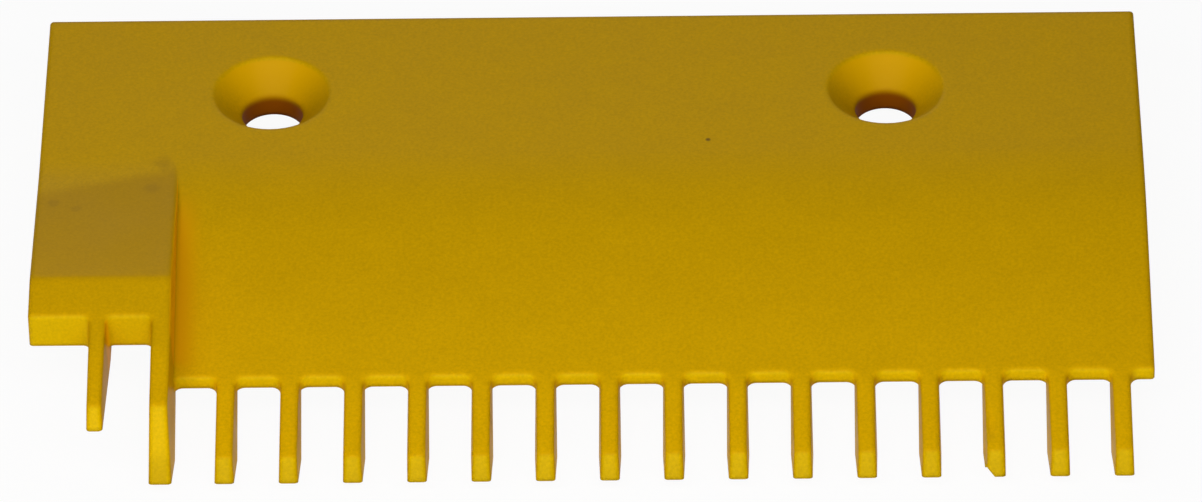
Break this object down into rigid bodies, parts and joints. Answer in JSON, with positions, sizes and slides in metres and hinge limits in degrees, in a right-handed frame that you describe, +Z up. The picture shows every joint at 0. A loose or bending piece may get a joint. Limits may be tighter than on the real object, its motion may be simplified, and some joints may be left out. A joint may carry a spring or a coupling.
{
  "type": "escalator comb plate",
  "caption": "One-piece comb plate end segment: flat rear with countersunk screw holes, sloping front with pointed comb teeth, and a raised end block with ribs.",
  "frame": {"origin": "on the flat underside seat, midway between the two screw holes", "axes": "+X along the row of teeth, from the raised end block to the plain end; +Y to the flat rear edge; +Z up, out of the countersinks"},
  "size_m": [0.1599, 0.0903, 0.0171],
  "materials": {
    "comb_body": "semi-gloss moulded"
  },
  "bodies": {
    "root": {"comb_plate": "comb_body"}
  },
  "joints": []
}
